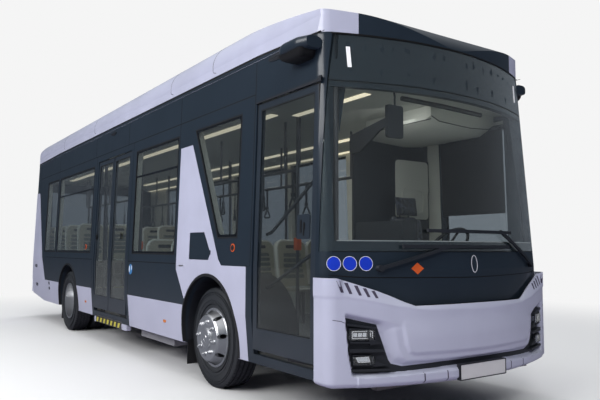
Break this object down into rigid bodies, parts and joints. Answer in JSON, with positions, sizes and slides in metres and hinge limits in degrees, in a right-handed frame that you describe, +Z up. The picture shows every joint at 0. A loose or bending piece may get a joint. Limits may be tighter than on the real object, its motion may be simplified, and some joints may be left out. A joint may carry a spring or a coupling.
{
  "type": "low-floor city bus",
  "caption": "Low-floor battery-electric city bus with inward-gliding doors, seats, driver's place, steered front wheels and twin rear wheels.",
  "frame": {"origin": "on the ground under the middle of the bus", "axes": "+X to the front, +Y to the driver's side, away from the doors, +Z up"},
  "size_m": [10, 2.6822, 3.3499],
  "materials": {
    "lilac": "gloss",
    "charcoal": "gloss",
    "dark_glass": "gloss",
    "clear_glass": "gloss",
    "black_plastic": "matte",
    "frame_steel": "matte",
    "floor": "matte",
    "lining": "matte",
    "light": "gloss",
    "seat": "matte",
    "driver_fabric": "matte",
    "pole": "satin",
    "alloy": "polished",
    "tyre": "matte",
    "rubber": "matte",
    "cast": "matte",
    "lamp_clear": "gloss",
    "battery_case": "matte",
    "ramp_metal": "satin",
    "door_frame": "satin"
  },
  "bodies": {
    "bus": {"wall_right": "charcoal", "wall_left": "charcoal", "lilac_panels": "lilac", "side_windows": "dark_glass", "front_mask": "charcoal", "windscreen": "clear_glass", "front_bumper": "lilac", "front_grille": "black_plastic", "lamps": "lamp_clear", "rear_wall": "charcoal", "rear_bumper": "lilac", "roof_shell": "lilac", "roof_dome": "charcoal", "roof_lining": "lining", "ceiling_lights": "light", "floor_deck": "floor", "underframe": "frame_steel", "wheel_arches": "black_plastic", "mud_flaps": "rubber", "ramp_cassette": "frame_steel", "front_axle": "cast", "rear_axle": "cast", "seat_pans": "seat", "seat_backs": "seat", "seat_feet": "pole", "driver_seat": "driver_fabric", "driver_partition": "black_plastic", "dashboard": "black_plastic", "handrails": "pole", "mirror_pods": "charcoal", "wipers": "black_plastic", "batteries": "battery_case", "motor_block": "cast"},
    "knuckle_left_body": {"knuckle_left": "cast"},
    "wheel_front_left": {"tyre_front_left": "tyre", "rim_front_left": "alloy"},
    "wheel_rear_left": {"tyre_rear_left": "tyre", "rim_rear_left": "alloy"},
    "knuckle_right_body": {"knuckle_right": "cast"},
    "wheel_front_right": {"tyre_front_right": "tyre", "rim_front_right": "alloy"},
    "wheel_rear_right": {"tyre_rear_right": "tyre", "rim_rear_right": "alloy"},
    "steering": {"steering_wheel": "black_plastic"},
    "door_front_arms": {"door_front_post": "pole"},
    "door_front_panel": {"door_front_leaf": "door_frame", "door_front_glass": "clear_glass"},
    "door_mid_front_arms": {"door_mid_front_post": "pole"},
    "door_mid_front_panel": {"door_mid_front_leaf": "door_frame", "door_mid_front_glass": "clear_glass"},
    "door_mid_rear_arms": {"door_mid_rear_post": "pole"},
    "door_mid_rear_panel": {"door_mid_rear_leaf": "door_frame", "door_mid_rear_glass": "clear_glass"},
    "cab_door_body": {"cab_door": "black_plastic"},
    "hatch": {"rear_hatch": "charcoal"},
    "charge_lid": {"charge_flap": "lilac"},
    "ramp_body": {"ramp": "ramp_metal"}
  },
  "joints": [
    {"name": "steer_left", "type": "hinge", "parent": "bus", "child": "knuckle_left_body", "pos_m": [2.76, 0.9175, 0.464], "axis": [0, 0, 1], "range_deg": [-42, 42]},
    {"name": "spin_front_left", "type": "hinge", "parent": "knuckle_left_body", "child": "wheel_front_left", "pos_m": [2.76, 1.0225, 0.464], "axis": [0, 1, 0], "continuous": true},
    {"name": "spin_rear_left", "type": "hinge", "parent": "bus", "child": "wheel_rear_left", "pos_m": [-2.27, 1.0625, 0.464], "axis": [0, 1, 0], "continuous": true},
    {"name": "steer_right", "type": "hinge", "parent": "bus", "child": "knuckle_right_body", "pos_m": [2.76, -0.9175, 0.464], "axis": [0, 0, 1], "range_deg": [-42, 42]},
    {"name": "spin_front_right", "type": "hinge", "parent": "knuckle_right_body", "child": "wheel_front_right", "pos_m": [2.76, -1.0225, 0.464], "axis": [0, 1, 0], "continuous": true},
    {"name": "spin_rear_right", "type": "hinge", "parent": "bus", "child": "wheel_rear_right", "pos_m": [-2.27, -1.0625, 0.464], "axis": [0, 1, 0], "continuous": true},
    {"name": "steering_turn", "type": "hinge", "parent": "bus", "child": "steering", "pos_m": [4.08, 0.64, 1.33], "axis": [-0.7282, 0, 0.6854], "range_deg": [-840, 840]},
    {"name": "door_front_swing", "type": "hinge", "parent": "bus", "child": "door_front_arms", "pos_m": [4.531, -1.05878, 1.5], "axis": [0, 0, -1], "range_deg": [0, 88]},
    {"name": "door_front_turn", "type": "hinge", "parent": "door_front_arms", "child": "door_front_panel", "pos_m": [4.072, -1.15377, 1.5], "axis": [0, 0, -1], "range_deg": [-176, 0]},
    {"name": "door_mid_front_swing", "type": "hinge", "parent": "bus", "child": "door_mid_front_arms", "pos_m": [0.521, -1.05878, 1.5], "axis": [0, 0, -1], "range_deg": [0, 88]},
    {"name": "door_mid_front_turn", "type": "hinge", "parent": "door_mid_front_arms", "child": "door_mid_front_panel", "pos_m": [0.16925, -1.15377, 1.5], "axis": [0, 0, -1], "range_deg": [-176, 0]},
    {"name": "door_mid_rear_swing", "type": "hinge", "parent": "bus", "child": "door_mid_rear_arms", "pos_m": [-0.901, -1.05878, 1.5], "axis": [0, 0, 1], "range_deg": [0, 88]},
    {"name": "door_mid_rear_turn", "type": "hinge", "parent": "door_mid_rear_arms", "child": "door_mid_rear_panel", "pos_m": [-0.54925, -1.15377, 1.5], "axis": [0, 0, 1], "range_deg": [-176, 0]},
    {"name": "cab_door_hinge", "type": "hinge", "parent": "bus", "child": "cab_door_body", "pos_m": [4.084, 0.045, 1.1], "axis": [0, 0, 1], "range_deg": [0, 85]},
    {"name": "hatch_lift", "type": "hinge", "parent": "bus", "child": "hatch", "pos_m": [-4.988, 0, 1.4025], "axis": [0, 1, 0], "range_deg": [0, 75]},
    {"name": "charge_flap_hinge", "type": "hinge", "parent": "bus", "child": "charge_lid", "pos_m": [2.817, -1.222, 1.3], "axis": [0, 0.031, 0.9995], "range_deg": [0, 110]},
    {"name": "ramp_slide", "type": "slide", "parent": "bus", "child": "ramp_body", "axis": [0, -1, 0], "range_m": [0, 0.62]}
  ],
  "couplings": [
    {"joint": "steer_right", "follows": "steer_left", "ratio": 1},
    {"joint": "steering_turn", "follows": "steer_left", "ratio": 20},
    {"joint": "door_front_turn", "follows": "door_front_swing", "ratio": -2},
    {"joint": "door_mid_front_turn", "follows": "door_mid_front_swing", "ratio": -2},
    {"joint": "door_mid_rear_turn", "follows": "door_mid_rear_swing", "ratio": -2}
  ]
}
